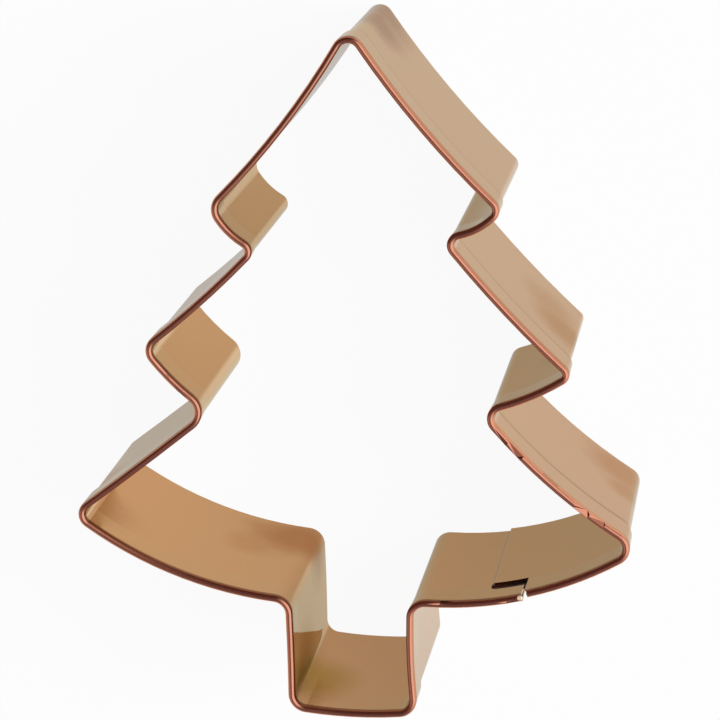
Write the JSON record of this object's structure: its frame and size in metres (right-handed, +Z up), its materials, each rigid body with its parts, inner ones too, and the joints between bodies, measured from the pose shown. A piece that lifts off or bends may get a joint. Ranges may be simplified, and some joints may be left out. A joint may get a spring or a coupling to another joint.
{
  "type": "cookie cutter",
  "caption": "Tree-shaped cookie cutter bent from a strip of thin copper sheet, with a rolled rim, a plain cutting edge and a lapped, soldered joint.",
  "frame": {"origin": "middle of the outline's box, on the surface that the cutting edge rests on", "axes": "+Z up from the cutting edge to the rolled rim, +Y towards the top of the tree, +X towards the side with the joint"},
  "size_m": [0.063, 0.079, 0.025],
  "materials": {
    "copper": "bright rolled copper sheet, a little toned by handling",
    "solder": "thin solder darkened by flux and heat"
  },
  "bodies": {
    "root": {"cutter_strip": "copper", "lap_solder": "solder"}
  },
  "joints": []
}
